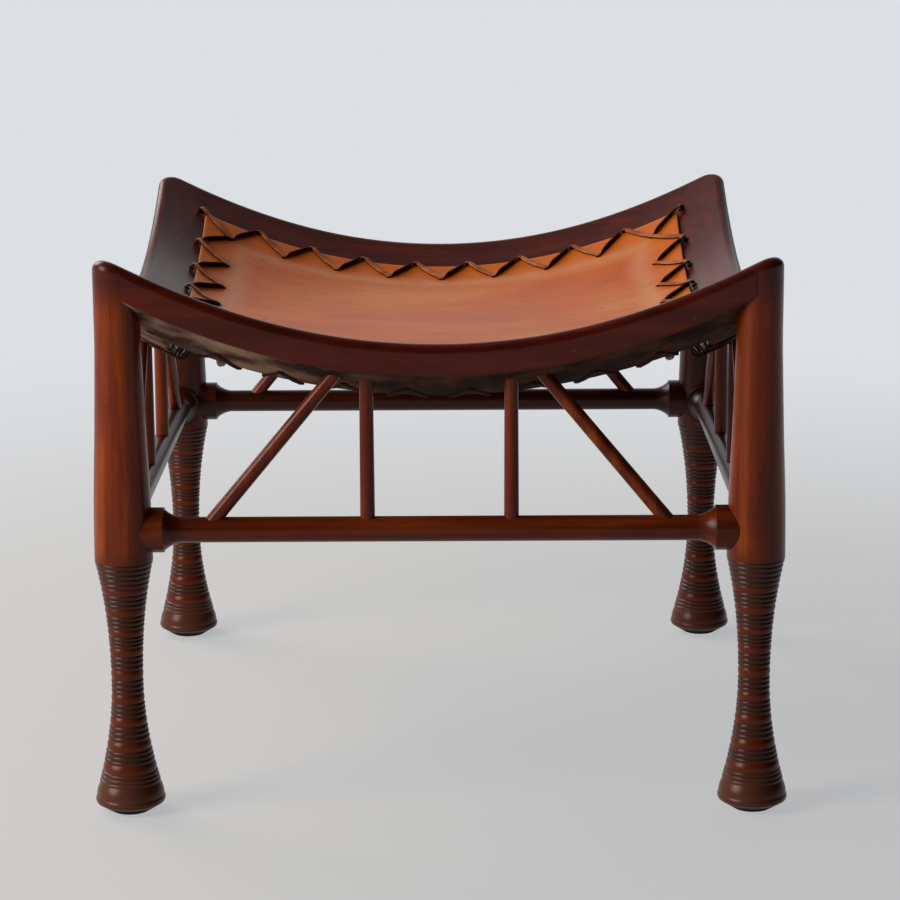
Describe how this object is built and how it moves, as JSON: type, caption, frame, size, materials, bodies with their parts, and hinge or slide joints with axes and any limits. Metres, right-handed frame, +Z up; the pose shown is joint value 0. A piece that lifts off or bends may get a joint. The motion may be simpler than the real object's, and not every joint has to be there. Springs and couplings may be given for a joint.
{
  "type": "low lattice stool with a dished leather seat",
  "caption": "Low dished stool: turned ringed legs, curved rails, a lattice of spindles and braces, and a laced leather seat.",
  "frame": {"origin": "centre of the footprint, on the floor under the feet", "axes": "+X to the right and +Y to the back as seen from the front, +Z up"},
  "size_m": [0.4664, 0.4864, 0.3751],
  "materials": {
    "mahogany": "dark red-brown polished mahogany",
    "seat_hide": "smooth tan saddle hide with a soft sheen",
    "lace_thong": "tan leather thong"
  },
  "bodies": {
    "root": {"leg_front_left": "mahogany", "leg_front_right": "mahogany", "leg_back_left": "mahogany", "leg_back_right": "mahogany", "rail_front": "mahogany", "rail_back": "mahogany", "rail_left": "mahogany", "rail_right": "mahogany", "stretcher_front": "mahogany", "stretcher_back": "mahogany", "stretcher_left": "mahogany", "stretcher_right": "mahogany", "spindle_front_left": "mahogany", "brace_front_left": "mahogany", "spindle_front_right": "mahogany", "brace_front_right": "mahogany", "spindle_back_left": "mahogany", "brace_back_left": "mahogany", "spindle_back_right": "mahogany", "brace_back_right": "mahogany", "spindle_left_front": "mahogany", "brace_left_front": "mahogany", "spindle_left_back": "mahogany", "brace_left_back": "mahogany", "spindle_right_front": "mahogany", "brace_right_front": "mahogany", "spindle_right_back": "mahogany", "brace_right_back": "mahogany", "seat_leather": "seat_hide", "lacing_front": "lace_thong", "lacing_back": "lace_thong", "lacing_left": "lace_thong", "lacing_right": "lace_thong"}
  },
  "joints": []
}
